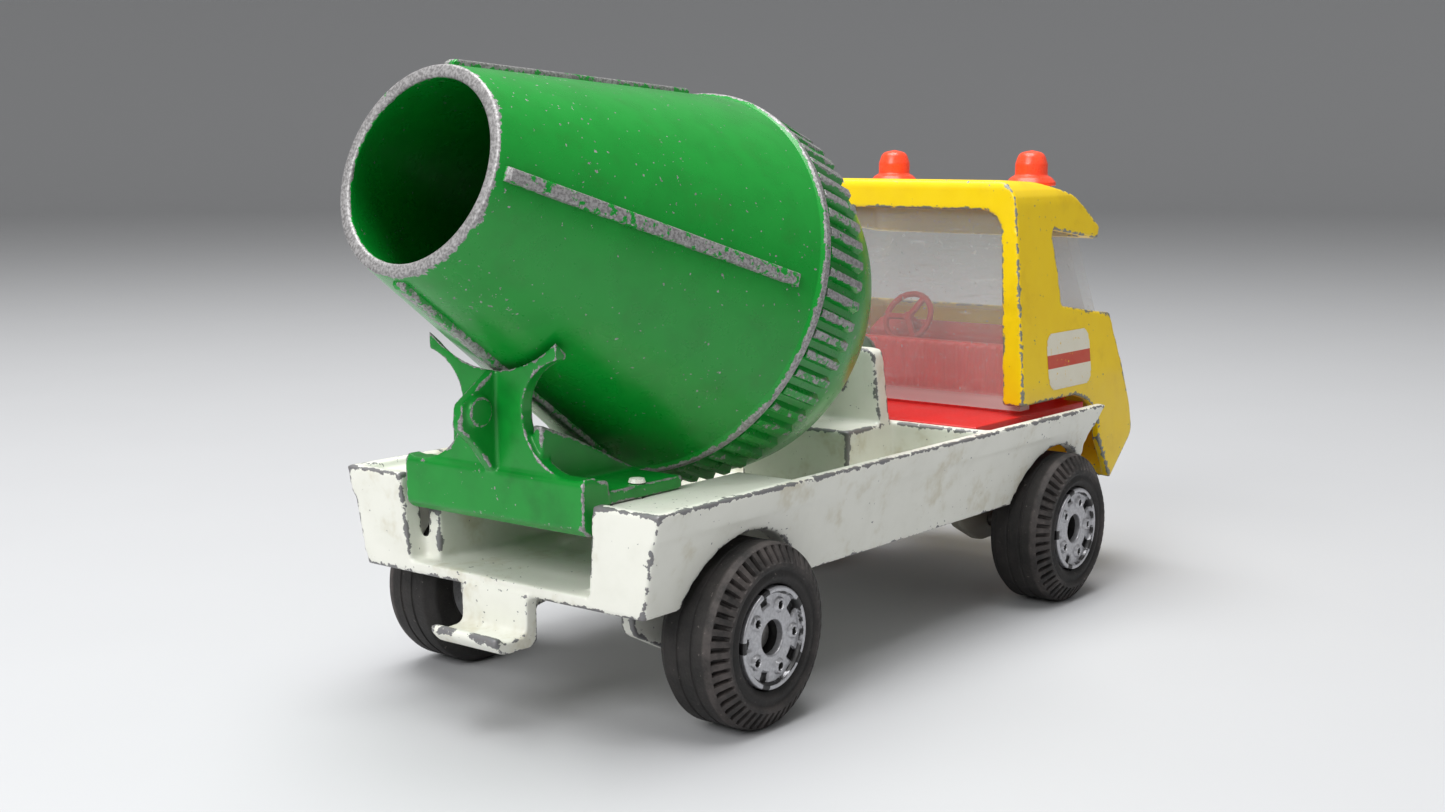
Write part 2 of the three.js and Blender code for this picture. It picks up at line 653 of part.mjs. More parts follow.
/** Red floor plate with the bulkhead behind the bench seat, and the dashboard. */
function cabInterior() {
  const plate = block([BED_FRONT_X + WALL + 0.2, 79.5], [-INTERIOR_HALF, INTERIOR_HALF], [24.3, 25.5]);
  const bulkhead = block([65.3, 66.7], [-16.2, 16.2], [25, 34.3]);
  const pleats = Array.from({ length: PLEAT_COUNT }, (_, i) => {
    const y = (i - (PLEAT_COUNT - 1) / 2) * PLEAT_PITCH;
    return block([64.9, 65.5], [y - 0.4, y + 0.4], [25, 33.9]);
  });
  const bench = prism("y", [
    [66, 25], [66, 33.4, 0.6], [67.6, 33.2, 0.6], [68.4, 29.6, 0.6], [73.4, 30, 0.8], [73.8, 25],
  ], -15.2, 15.2);
  const dash = prism("y", [
    [77.6, 25], [79.2, 33.6, 0.6], [82.6, 35.4, 0.8], [83.4, 34, 0.6], [81.5, 25.3], [79, 25],
  ], -16, 16);
  const columnSocket = atSteeringWheel(rod(STEERING_COLUMN_RADIUS + JOINT_GAP, -5.3, 1, 12));
  return cut(join(plate, bulkhead, bench, dash, ...pleats), columnSocket);
}

/** Steering wheel with three spokes on its column. */
function steeringWheel() {
  const section = arc(STEERING_RIM_RADIUS, 0, 0.5, 0, 300, 5);
  const rim = turned(section, 20);
  const spoke = block([0, STEERING_RIM_RADIUS], [-0.4, 0.4], [-0.35, 0.35]);
  const spokes = [90, 210, 330].map((angle) => spoke.rotate([0, 0, angle]));
  const column = rod(STEERING_COLUMN_RADIUS, -4.9, 0.5, 10);
  return atSteeringWheel(join(rim, column, ...spokes));
}

/** Warning beacon: domed lamp on a stepped base, with a stem into the roof. */
const beacon = (side) => turned([
  [0, BEACON_SEAT_Z - 1.6],
  [1.2, BEACON_SEAT_Z - 1.6],
  [1.2, 55.3],
  [3.4, 55.3],
  [3.4, 55.8],
  [2.9, 56.4],
  [2.3, 56.8],
  [2.3, 57.9],
  ...arc(0, 57.9, 2.3, 30, 60, 1),
  [0, 60.2],
], 18).translate([BEACON_X, side * BEACON_Y, 0]);

// ---- wheels, made about +Z with the outer face up, then turned to face left or right ----

function tyre() {
  const profile = [
    [HUB_RADIUS + 0.15, -TYRE_WIDTH + 0.6],
    [6.6, -TYRE_WIDTH],
    [8.9, -TYRE_WIDTH],
    [TYRE_RADIUS, -TYRE_WIDTH + 1.2],
    [TYRE_RADIUS, -1.5],
    [9.3, -0.15],
    [6.5, 0],
    [HUB_RADIUS + 0.15, -0.4],
  ];
  return turned(profile, 30);
}

function hub() {
  const face = -HUB_RECESS;
  const bottom = -(AXLE_HEAD_DEPTH + AXLE_HEAD_LENGTH + AXLE_HEAD_GAP);
  const body = turned([
    [RUNNING_RADIUS, -TYRE_WIDTH + 0.3],
    [2.6, -TYRE_WIDTH + 0.3],
    [2.6, -TYRE_WIDTH + 1.4],
    [HUB_RADIUS, -TYRE_WIDTH + 1.4],
    [HUB_RADIUS, -0.25],
    [HUB_RADIUS - 0.7, -0.25],
    [HUB_RADIUS - 1.1, face - 0.6],
    [2.5, face - 0.6],
    [2.4, face + 0.2],
    [1.75, face + 0.2],
    [1.75, bottom],
    [RUNNING_RADIUS, bottom],
  ], 18);
  const bolts = Array.from({ length: BOLT_COUNT }, (_, i) =>
    rod(0.6, face - 1, face + 0.1, 6).translate([3.5, 0, 0]).rotate([0, 0, (i * 360) / BOLT_COUNT]));
  return join(body, ...bolts);
}

const axle = () => {
  const end = TYRE_FACE_Y - AXLE_HEAD_DEPTH;
  const neck = end - AXLE_HEAD_LENGTH;
  return alongY(turned([
    [0, -end], [AXLE_HEAD_RADIUS, -end], [AXLE_HEAD_RADIUS, -neck], [AXLE_RADIUS, -neck],
    [AXLE_RADIUS, neck], [AXLE_HEAD_RADIUS, neck], [AXLE_HEAD_RADIUS, end], [0, end],
  ], 16));
};

// ---- assembly ----

const group = new THREE.Group();
group.position.x = -MID_LENGTH;

group.add(
  piece("chassis", chassis(), whitePaint()),
  piece("front_axle_carrier", frontAxleCarrier(), greyPlate()),
  piece("carrier_rivet", underRivet(CARRIER_RIVET_X, 20), bareSteel()),
  piece("cab_rivet", underRivet(CAB_RIVET_X, 21), bareSteel()),
  piece("mixer_stand", mixerStand(), greenPaint()),
  piece("stand_rivet_left", standRivet(1), whitePaint()),
  piece("stand_rivet_right", standRivet(-1), whitePaint()),
  piece("cab_shell", cabShell(), yellowPaint()),
  piece("cab_window", cabWindow(), clearPlastic()),
  piece("cab_interior", cabInterior(), redPlastic()),
  piece("steering_wheel", steeringWheel(), redPlastic()),
  piece("beacon_left", beacon(1), beaconPlastic()),
  piece("beacon_right", beacon(-1), beaconPlastic()),
);

const drum = new THREE.Group();
drum.position.copy(DRUM_MOUTH);
drum.rotation.y = Math.PI / 2 + DRUM_TILT;
drum.add(
  piece("drum_cone", drumCone(), greenPaint()),
  piece("drum_base", drumBase(), greenPaint()),
  piece("drum_spindle", drumSpindle(), bareSteel()),
  piece("spindle_washer", spindleWasher(), bareSteel()),
);
group.add(drum);

for (const [end, x] of [["rear", 0], ["front", WHEELBASE]]) {
  const axleMesh = piece(`${end}_axle`, axle(), bareSteel());
  axleMesh.position.set(x, 0, TYRE_RADIUS);
  group.add(axleMesh);
  for (const [hand, side] of [["left", 1], ["right", -1]]) {
    const wheel = new THREE.Group();
    wheel.position.set(x, side * TYRE_FACE_Y, TYRE_RADIUS);
    wheel.rotation.x = -side * (Math.PI / 2);
    wheel.add(
      piece(`tyre_${end}_${hand}`, tyre(), blackRubber()),
      piece(`hub_${end}_${hand}`, hub(), silverPlastic()),
    );
    group.add(wheel);
  }
}

export default group;
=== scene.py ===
"""Looks of the die-cast toy cement mixer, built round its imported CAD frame.

Lengths are in millimetres until a piece is made; every Blender object is in metres."""

import json
import math

import bmesh
import bpy
import numpy as np
from mathutils import Matrix, Vector


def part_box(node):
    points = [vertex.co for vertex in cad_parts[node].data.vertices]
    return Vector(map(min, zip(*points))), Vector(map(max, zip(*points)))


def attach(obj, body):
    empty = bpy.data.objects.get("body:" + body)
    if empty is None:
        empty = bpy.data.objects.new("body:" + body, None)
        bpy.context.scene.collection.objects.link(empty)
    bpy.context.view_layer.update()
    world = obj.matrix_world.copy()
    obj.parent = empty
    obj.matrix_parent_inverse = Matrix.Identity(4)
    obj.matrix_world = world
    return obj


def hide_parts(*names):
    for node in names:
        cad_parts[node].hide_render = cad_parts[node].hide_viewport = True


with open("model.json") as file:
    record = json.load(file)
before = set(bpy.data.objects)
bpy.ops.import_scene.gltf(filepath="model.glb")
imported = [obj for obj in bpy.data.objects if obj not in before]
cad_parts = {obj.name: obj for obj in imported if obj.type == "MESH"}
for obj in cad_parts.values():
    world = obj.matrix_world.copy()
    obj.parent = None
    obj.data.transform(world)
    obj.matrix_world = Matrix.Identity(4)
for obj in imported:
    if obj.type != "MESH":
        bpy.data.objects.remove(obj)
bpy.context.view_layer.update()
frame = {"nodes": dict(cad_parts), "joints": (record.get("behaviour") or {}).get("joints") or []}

MM = 0.001
JOINTS = {joint["name"]: joint for joint in frame["joints"]}
SIDES = {"left": 1, "right": -1}
ENDS = ("rear", "front")

# ---- camera ----

CAMERA_PLACE = (-178.5, -131.4, 60.8)
CAMERA_HEADING = 38.12
CAMERA_DIP = 8.34
CAMERA_LENS = 44.2


def make_camera():
    """Camera behind and to the right of the lorry, heading measured from +X towards +Y."""
    camera = bpy.data.cameras.new("camera")
    camera.lens = CAMERA_LENS
    camera.sensor_width = 36
    camera.clip_start = 0.005
    camera.clip_end = 20
    holder = bpy.data.objects.new("camera", camera)
    holder.location = Vector(CAMERA_PLACE) * MM
    holder.rotation_euler = (math.radians(90 - CAMERA_DIP), 0, math.radians(CAMERA_HEADING - 90))
    bpy.context.scene.collection.objects.link(holder)
    bpy.context.scene.camera = holder


# ---- node helpers ----


class Shader:
    """A material's node tree with short calls for the nodes that the finishes are made of."""

    def __init__(self, name):
        self.material = bpy.data.materials.new(name)
        self.material.use_nodes = True
        self.tree = self.material.node_tree
        self.surface = self.tree.nodes["Principled BSDF"]
        self.place = self.node("ShaderNodeTexCoord").outputs["Object"]

    def node(self, kind, inputs=None, **settings):
        made = self.tree.nodes.new(kind)
        for key, value in settings.items():
            setattr(made, key, value)
        for key, value in (inputs or {}).items():
            self.feed(made.inputs[key], value)
        return made

    def feed(self, socket, value):
        if isinstance(value, bpy.types.NodeSocket):
            self.tree.links.new(value, socket)
        else:
            socket.default_value = value

    def noise(self, size, detail=3.0, roughness=0.55, stretch=(1, 1, 1)):
        """Cloudy noise whose features are about size millimetres across."""
        mapping = self.node("ShaderNodeMapping", {"Vector": self.place, "Scale": stretch})
        made = self.node("ShaderNodeTexNoise", {
            "Vector": mapping.outputs[0], "Scale": 1 / (size * MM), "Detail": detail, "Roughness": roughness})
        return made.outputs["Fac"]

    def attribute(self, name):
        return self.node("ShaderNodeAttribute", attribute_name=name).outputs["Fac"]

    def math(self, operation, a, b=0.0, clamp=False):
        return self.node("ShaderNodeMath", {0: a, 1: b}, operation=operation, use_clamp=clamp).outputs[0]

    def step(self, value, low, high):
        """0 below low, 1 above high, smooth between."""
        return self.node("ShaderNodeMapRange", {"Value": value, "From Min": low, "From Max": high},
                         interpolation_type="SMOOTHSTEP").outputs["Result"]

    def between(self, value, low, high):
        """Maps 0..1 to low..high."""
        made = self.node("ShaderNodeMapRange", {"Value": value, "To Min": low, "To Max": high})
        return made.outputs["Result"]

    def mix(self, factor, a, b):
        """Blends two colours."""
        made = self.node("ShaderNodeMix", data_type="RGBA")
        self.feed(made.inputs["Factor"], factor)
        self.feed(made.inputs["A"], a)
        self.feed(made.inputs["B"], b)
        return made.outputs["Result"]

    def grade(self, factor, a, b):
        """Blends two numbers."""
        made = self.node("ShaderNodeMix", data_type="FLOAT")
        self.feed(made.inputs["Factor"], factor)
        self.feed(made.inputs["A"], a)
        self.feed(made.inputs["B"], b)
        return made.outputs["Result"]

    def bump(self, height, depth, after=None):
        """Bump from a 0..1 height that stands for depth millimetres."""
        inputs = {"Height": height, "Distance": depth * MM, "Strength": 1.0}
        if after is not None:
            inputs["Normal"] = after
        return self.node("ShaderNodeBump", inputs).outputs["Normal"]

    def out(self, **sockets):
        names = {"colour": "Base Color", "metal": "Metallic", "rough": "Roughness", "normal": "Normal",
                 "alpha": "Alpha", "specular": "Specular IOR Level"}
        for key, value in sockets.items():
            self.feed(self.surface.inputs[names[key]], value)
        return self.material


def rgb(red, green, blue):
    """Linear colour from 0..255 screen values."""
    return tuple((value / 255) ** 2.2 for value in (red, green, blue)) + (1.0,)


# ---- finishes ----

BARE_ZINC = rgb(170, 168, 168)
DARK_ZINC = rgb(126, 124, 124)


def worn_paint(name, paint, shade, stain, zinc=BARE_ZINC, edge=1.0, specks=1.0, stains=0.3, rough=0.32):
    """Enamel over a zinc casting: chipped edges, small speckled chips, stains and a slight orange peel."""
    s = Shader(name)
    clouds = s.noise(14, detail=3)
    mottle = s.noise(2.4, detail=4)
    ragged = s.noise(0.75, detail=4, roughness=0.65)
    fine = s.noise(0.28, detail=2)
    wear = s.math("MULTIPLY", s.attribute("wear"), edge)
    reach = s.math("ADD", wear, s.math("MULTIPLY", s.math("SUBTRACT", ragged, 0.5), 1.7))
    reach = s.math("ADD", reach, s.math("MULTIPLY", s.math("SUBTRACT", mottle, 0.5), 1.5))
    edge_chips = s.step(reach, 0.58, 0.64)
    dots = s.noise(0.55, detail=2, roughness=0.5)
    crowd = s.between(s.step(s.noise(9, detail=2), 0.4, 0.7), 0.0, 0.06)
    speckle = s.step(s.math("ADD", dots, crowd), 0.765 - 0.02 * specks, 0.78 - 0.02 * specks)
    chips = s.math("MAXIMUM", edge_chips, speckle)
    stained = s.math("MULTIPLY", s.step(s.noise(7, detail=4, roughness=0.7), 0.52, 0.75), stains)
    smudge = s.step(s.noise(3.5, detail=4), 0.35, 0.75)
    coat = s.mix(s.math("MULTIPLY", smudge, 0.35), paint, shade)
    coat = s.mix(stained, coat, stain)
    metal = s.mix(s.step(fine, 0.35, 0.65), zinc, DARK_ZINC)
    film = s.math("SUBTRACT", 1.0, chips)
    normal = s.bump(clouds, 0.10)
    normal = s.bump(mottle, 0.012, normal)
    normal = s.bump(film, 0.05, normal)
    normal = s.bump(s.math("MULTIPLY", fine, chips), 0.03, normal)
    return s.out(
        colour=s.mix(chips, coat, metal),
        metal=s.math("MULTIPLY", chips, 0.45),
        rough=s.grade(chips, s.between(mottle, rough - 0.08, rough + 0.14), 0.5),
        normal=normal,
    )


def moulded(name, colour, shade, rough=0.35, peel=0.01, dust=0.2):
    """Moulded plastic with a fine skin, slight flow marks and dust in patches."""
    s = Shader(name)
    flow = s.noise(5, detail=3, stretch=(0.3, 1, 1))
    grain = s.noise(0.35, detail=3)
    dusty = s.math("MULTIPLY", s.step(s.noise(3, detail=4), 0.45, 0.8), dust)
    tone = s.mix(flow, colour, shade)
    return s.out(
        colour=s.mix(dusty, tone, rgb(150, 140, 135)),
        rough=s.between(grain, rough - 0.08, rough + 0.15),
        normal=s.bump(grain, peel),
    )


def dusty_rubber():
    """Black rubber, rubbed brown-grey on the shoulders, with pale dust specks."""
    s = Shader("tyre_rubber")
    worn = s.attribute("wear")
    cloud = s.noise(4, detail=5, roughness=0.7)
    grain = s.noise(0.3, detail=4)
    specks = s.step(s.noise(0.5, detail=3), 0.68, 0.74)
    rub = s.math("MULTIPLY", s.step(cloud, 0.3, 0.75), s.between(worn, 0.25, 1.0))
    tone = s.mix(rub, rgb(26, 25, 24), rgb(78, 72, 70))
    tone = s.mix(s.math("MULTIPLY", specks, 0.5), tone, rgb(120, 112, 108))
    return s.out(
        colour=tone,
        rough=s.between(grain, 0.55, 0.8),
        normal=s.bump(grain, 0.04),
    )


def silver_hub():
    """Silver-finished plastic hub, with painted shade: near-black in its bore, stud holes, vents and the
    groove by its rim.
    """
    s = Shader("silver_hub")
    shade_depth = s.attribute("wear")
    patch = s.noise(1.1, detail=4, roughness=0.6)
    fine = s.noise(0.3, detail=3)
    # painted shade: near-black where the hub's bore, holes, vents and rim groove lie in shade
    recess_shade = s.step(s.math("ADD", shade_depth, s.math("MULTIPLY", s.math("SUBTRACT", patch, 0.5), 1.1)), 0.42, 0.6)
    tone = s.mix(fine, rgb(205, 205, 208), rgb(150, 150, 154))
    return s.out(
        colour=s.mix(recess_shade, tone, rgb(32, 31, 32)),
        metal=s.grade(recess_shade, 0.75, 0.0),
        rough=s.between(fine, 0.3, 0.5),
        normal=s.bump(patch, 0.04),
    )


def bare_steel():
    """Plain steel with draw marks and a little tarnish."""
    s = Shader("bare_steel")
    marks = s.noise(0.4, detail=3, stretch=(1, 0.1, 1))
    tarnish = s.step(s.noise(1.5, detail=4), 0.45, 0.7)
    s.surface.inputs["Metallic"].default_value = 0.9
    return s.out(
        colour=s.mix(tarnish, rgb(165, 163, 160), rgb(105, 98, 90)),
        rough=s.between(marks, 0.3, 0.5),
        normal=s.bump(marks, 0.01),
    )


FROST_TOP = 27.0


def clear_moulding():
    """Clear plastic with faint waves, wiping scratches, dust and a frosted lower border."""
    s = Shader("clear_plastic")
    wave = s.noise(6, detail=1)
    scratch = s.step(s.noise(0.5, detail=3, stretch=(1, 0.08, 0.6)), 0.62, 0.7)
    dust = s.step(s.noise(0.6, detail=3), 0.64, 0.72)
    height = s.node("ShaderNodeSeparateXYZ", {"Vector": s.place}).outputs["Z"]
    border = s.math("SUBTRACT", 1.0, s.step(height, FROST_TOP * MM, (FROST_TOP + 1.2) * MM))
    mask = s.math("MAXIMUM", s.math("MULTIPLY", scratch, 0.2), s.math("MULTIPLY", dust, 0.35))
    mask = s.math("MAXIMUM", mask, s.math("MULTIPLY", border, 0.4))
    return s.out(
        colour=rgb(226, 230, 230),
        rough=s.between(mask, 0.06, 0.5),
        alpha=s.between(mask, 0.17, 0.85),
        specular=1.0,
        normal=s.bump(wave, 0.05),
    )


def beacon_lens():
    """Orange-red plastic that glows a little through its depth."""
    s = Shader("beacon_plastic")
    flow = s.noise(1.5, detail=3)
    grain = s.noise(0.25, detail=3)
    s.surface.inputs["Subsurface Weight"].default_value = 0.25
    s.surface.inputs["Subsurface Radius"].default_value = (0.002, 0.0008, 0.0004)
    s.surface.inputs["Subsurface Scale"].default_value = 0.6
    return s.out(
        colour=s.mix(flow, rgb(255, 92, 58), rgb(240, 62, 38)),
        rough=s.between(grain, 0.2, 0.38),
        normal=s.bump(grain, 0.012),
    )


# ---- mesh helpers ----


def link(name, mesh):
    made = bpy.data.objects.new(name, mesh)
    bpy.context.scene.collection.objects.link(made)
    return made


def settle(piece, body, slot, *nodes):
    """Hangs a finished piece on its body and hides the CAD nodes that it stands for; the slot is not used."""
    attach(piece, body)
    if nodes:
        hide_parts(*nodes)
    return piece


def smooth_shaded(mesh, angle=35):
    mesh.polygons.foreach_set("use_smooth", [True] * len(mesh.polygons))
    mesh.set_sharp_from_angle(angle=math.radians(angle))


# The wear attribute is a per-vertex mask: edge wear on castings, drum and tyres, the stripe on labels, and
# painted shade in the hub recesses.
def add_wear_and_shade(mesh, values):
    layer = mesh.attributes.new("wear", "FLOAT", "POINT")
    layer.data.foreach_set("value", np.asarray(values, np.float32))


def rounded(corners, steps=4):
    """Closed outline from corners (a, b, radius); a corner with a radius becomes an arc."""
    points = []
    count = len(corners)
    for i, corner in enumerate(corners):
        here = Vector(corner[:2])
        radius = corner[2] if len(corner) > 2 else 0
        if not radius:
            points.append(here)
            continue
        back = (Vector(corners[i - 1][:2]) - here).normalized()
        ahead = (Vector(corners[(i + 1) % count][:2]) - here).normalized()
        half = back.angle(ahead) / 2
        centre = here + (back + ahead).normalized() * (radius / math.sin(half))
        start = here + back * (radius / math.tan(half)) - centre
        end = here + ahead * (radius / math.tan(half)) - centre
        sweep = math.atan2(start.x * end.y - start.y * end.x, start.dot(end))
        for step in range(steps + 1):
            turn = Matrix.Rotation(sweep * step / steps, 2)
            points.append(centre + turn @ start)
    return points


def dense(points, spacing, closed=True):
    """The same outline with points no further apart than the spacing."""
    result = []
    pairs = zip(points, points[1:] + points[:1]) if closed else zip(points, points[1:])
    for a, b in pairs:
        count = max(1, math.ceil((b - a).length / spacing))
        result.extend(a.lerp(b, step / count) for step in range(count))
    if not closed:
        result.append(points[-1])
    return result


def spun(name, points, segments, place, form=None, wear=None, closed=True):
    """Solid of revolution about local +Z from (radius, z) points in millimetres, put in place in metres.

    form(radius, z, angle) gives the changed radius and z; wear(radius, z, angle) the wear attribute at each
    vertex: edge wear, and on the hubs painted shade in their recesses."""
    profile = np.array([tuple(point) for point in points])
    angles = np.linspace(0, 2 * math.pi, segments, endpoint=False)
    radius = np.repeat(profile[:, 0][None], segments, 0)
    height = np.repeat(profile[:, 1][None], segments, 0)
    angle = np.repeat(angles[:, None], len(profile), 1)
    if form:
        radius, height = form(radius, height, angle)
    places = np.stack([radius * np.cos(angle), radius * np.sin(angle), height], -1).reshape(-1, 3)
    count = len(profile)
    rows = count if closed else count - 1
    faces = []
    for j in range(segments):
        here, ahead = j * count, ((j + 1) % segments) * count
        for i in range(rows):
            k = (i + 1) % count
            faces.append((here + i, ahead + i, ahead + k, here + k))
    mesh = bpy.data.meshes.new(name)
    mesh.from_pydata(places.tolist(), [], faces)
    add_wear_and_shade(mesh, (wear(radius, height, angle) if wear else np.zeros_like(radius)).ravel())
    tidy(mesh, 1e-4)
    mesh.transform(place @ Matrix.Scale(MM, 4))
    smooth_shaded(mesh)
    return link(name, mesh)


def tidy(mesh, distance):
    """Joins vertices that coincide and turns every face outwards."""
    work = bmesh.new()
    work.from_mesh(mesh)
    bmesh.ops.remove_doubles(work, verts=work.verts, dist=distance)
    bmesh.ops.dissolve_degenerate(work, edges=work.edges, dist=distance)
    bmesh.ops.recalc_face_normals(work, faces=work.faces)
    work.to_mesh(mesh)
    work.free()


SHARP_EDGE = 0.09
MOST_WEAR = 1.2
WEAR_SPREAD = 3
SOFTEN_ROUNDS = 4


def edge_sharpness(mesh, spacing):
    """How proud each vertex stands: 1 on a sharp outer edge, 0 on flats and in inner corners."""
    count = len(mesh.vertices)
    places = np.empty(count * 3)
    mesh.vertices.foreach_get("co", places)
    places = places.reshape(-1, 3)
    normals = np.empty(count * 3)
    mesh.vertices.foreach_get("normal", normals)
    normals = normals.reshape(-1, 3)
    ends = np.empty(len(mesh.edges) * 2, np.int64)
    mesh.edges.foreach_get("vertices", ends)
    a, b = ends.reshape(-1, 2).T
    degree = np.maximum(np.bincount(a, minlength=count) + np.bincount(b, minlength=count), 1)

    def averaged(values):
        columns = values.reshape(count, -1)
        total = np.empty_like(columns)
        for k in range(columns.shape[1]):
            column = columns[:, k]
            total[:, k] = np.bincount(a, column[b], count) + np.bincount(b, column[a], count)
        return (total / degree[:, None]).reshape(values.shape)

    proud = np.einsum("ij,ij->i", places - averaged(places), normals) / spacing
    for _ in range(WEAR_SPREAD):
        proud = (proud + averaged(proud)) / 2
    return np.clip(proud / SHARP_EDGE, 0, MOST_WEAR)


def recast(name, node, voxel):
    """Copy of a CAD casting with softened, rounded edges, on a fine even mesh that carries its edge wear."""
    mesh = frame["nodes"][node].data.copy()
    mesh.transform(Matrix.Scale(1 / MM, 4))
    tidy(mesh, 1e-3)
    work = link(name + "_work", mesh)
    remesh = work.modifiers.new("voxels", "REMESH")
    remesh.mode = "VOXEL"
    remesh.voxel_size = voxel
    soften = work.modifiers.new("soften", "SMOOTH")
    soften.factor = 0.5
    soften.iterations = SOFTEN_ROUNDS
    bpy.context.view_layer.update()
    made = bpy.data.meshes.new_from_object(work.evaluated_get(bpy.context.evaluated_depsgraph_get()))
    made.name = name
    bpy.data.objects.remove(work)
    made.materials.clear()
    add_wear_and_shade(made, edge_sharpness(made, voxel))
    made.transform(Matrix.Scale(MM, 4))
    smooth_shaded(made, 60)
    return link(name, made)


def dressed(piece, material):
    piece.data.materials.clear()
    piece.data.materials.append(material)
    return piece


# ---- castings that follow the CAD shapes ----


def make_castings():
    white = worn_paint("white_paint", rgb(232, 232, 222), rgb(216, 216, 204), rgb(176, 160, 112),
                       zinc=rgb(128, 128, 130), edge=0.72, specks=0.4, stains=0.45)
    green = worn_paint("green_paint_stand", rgb(16, 138, 48), rgb(10, 112, 38), rgb(8, 84, 30),
                       edge=0.72, specks=0.8, stains=0.25)
    yellow = worn_paint("yellow_paint", rgb(246, 208, 12), rgb(236, 192, 10), rgb(190, 150, 20),
                        zinc=rgb(140, 144, 130), edge=0.68, specks=0.3, stains=0.2)
    chassis = dressed(recast("chassis_casting", "chassis", 0.3), white)
    settle(chassis, "chassis", "white_paint", "chassis")
    stand = dressed(recast("stand_casting", "mixer_stand", 0.18), green)
    settle(stand, "chassis", "green_paint", "mixer_stand")
    cab = dressed(recast("cab_casting", "cab_shell", 0.26), yellow)
    settle(cab, "chassis", "yellow_paint", "cab_shell")
    # painted shade: the front axle carrier is white like the chassis; its grey-beige colour is the white as
    # it looks in shadow under the lorry
    carrier = moulded("grey_plate", rgb(168, 164, 150), rgb(140, 136, 124), rough=0.5, dust=0.3)
    settle(dressed(recast("axle_carrier", "front_axle_carrier", 0.3), carrier),
           "chassis", "grey_plate", "front_axle_carrier")
    for side in SIDES:
        frame["nodes"][f"stand_rivet_{side}"].data.materials[0] = white
    return cab


LABEL_CENTRE = (40.4, 32.0)
LABEL_HALF = (6.2, 3.9)
LABEL_CORNER = 1.6
STRIPE_HALF = 0.9
BESIDE_CAB = 40
SKIN_STEP = 0.2
SKIN_LIFT = 0.04


def skin(name, casting, origin, across, up, inwards, half, inside):
    """Thin sheet laid on a casting: a grid of points (u, v) that inside(u, v) keeps, cast inwards onto it."""
    columns = int(half[0] / SKIN_STEP)
    rows = int(half[1] / SKIN_STEP)
    places = {}
    for i in range(-columns, columns + 1):
        for j in range(-rows, rows + 1):
            u, v = i * SKIN_STEP, j * SKIN_STEP
            start = (Vector(origin) + Vector(across) * u + Vector(up) * v) * MM
            hit, point, normal, _ = casting.ray_cast(start, Vector(inwards))
            if inside(u, v) and hit:
                places[i, j] = point + normal * SKIN_LIFT * MM
    order = {key: index for index, key in enumerate(places)}
    cells = [[(i, j), (i + 1, j), (i + 1, j + 1), (i, j + 1)] for i, j in places]
    faces = [[order[key] for key in cell] for cell in cells if all(key in order for key in cell)]
    mesh = bpy.data.meshes.new(name)
    mesh.from_pydata(list(places.values()), [], faces)
    add_wear_and_shade(mesh, [1.0 if abs(j * SKIN_STEP) < STRIPE_HALF else 0.0 for _, j in places])
    smooth_shaded(mesh)
    return link(name, mesh)


def printed_label():
    """Plain printed label: off-white with one red stripe, yellowed and scuffed."""
    s = Shader("door_label")
    stripe = s.step(s.attribute("wear"), 0.4, 0.6)
    age = s.noise(2.5, detail=4)
    scuff = s.step(s.noise(0.7, detail=4, roughness=0.7), 0.62, 0.66)
    tone = s.mix(stripe, rgb(232, 228, 212), rgb(198, 34, 30))
    tone = s.mix(s.math("MULTIPLY", age, 0.3), tone, rgb(190, 176, 130))
    return s.out(
        colour=s.mix(scuff, tone, rgb(226, 190, 30)),
        rough=s.between(age, 0.35, 0.5),
        normal=s.bump(age, 0.01),
    )


def make_labels(cab):
    """One plain label on each cab door."""
    paper = printed_label()

    def inside(u, v):
        du = max(abs(u) - LABEL_HALF[0] + LABEL_CORNER, 0)
        dv = max(abs(v) - LABEL_HALF[1] + LABEL_CORNER, 0)
        return math.hypot(du, dv) <= LABEL_CORNER

    for hand, side in SIDES.items():
        origin = (LABEL_CENTRE[0], side * BESIDE_CAB, LABEL_CENTRE[1])
        label = skin(f"door_label_{hand}", cab, origin, (side, 0, 0), (0, 0, 1), (0, -side, 0),
                     LABEL_HALF, inside)
        settle(dressed(label, paper), "chassis", "white_paint")


LAMP_Y = 12.6
LAMP_RADIUS = 2.6
GRILLE_HALF = (9.2, 3.2)
GRILLE_PITCH = 1.6
NOSE_Z = 24.5
AHEAD_OF_NOSE = 90


def make_nose(cab):
    """Silvered grille bars and two round lamps, printed on the nose."""
    silver = moulded("silver_print", rgb(190, 190, 192), rgb(160, 160, 163), rough=0.3, dust=0.1)

    def bars(u, v):
        return abs(v / GRILLE_PITCH - round(v / GRILLE_PITCH)) < 0.28

    def lamp(u, v):
        return math.hypot(u, v) <= LAMP_RADIUS

    pieces = [("grille_bars", 0, GRILLE_HALF, bars)]
    for hand, side in SIDES.items():
        pieces.append((f"lamp_{hand}", side * LAMP_Y, (LAMP_RADIUS, LAMP_RADIUS), lamp))
    for name, y, half, inside in pieces:
        made = skin(name, cab, (AHEAD_OF_NOSE, y, NOSE_Z), (0, 1, 0), (0, 0, 1), (-1, 0, 0), half, inside)
        settle(dressed(made, silver), "chassis", "silver_plastic")


def make_interior():
    red = moulded("red_plastic", rgb(226, 32, 28), rgb(190, 20, 18), rough=0.34, dust=0.12)
    settle(dressed(recast("red_interior", "cab_interior", 0.28), red),
           "chassis", "red_plastic", "cab_interior")
    settle(dressed(recast("steering_wheel_moulding", "steering_wheel", 0.11), red),
           "chassis", "red_plastic", "steering_wheel")
    frame["nodes"]["cab_window"].data.materials[0] = clear_moulding()


# ---- drum ----

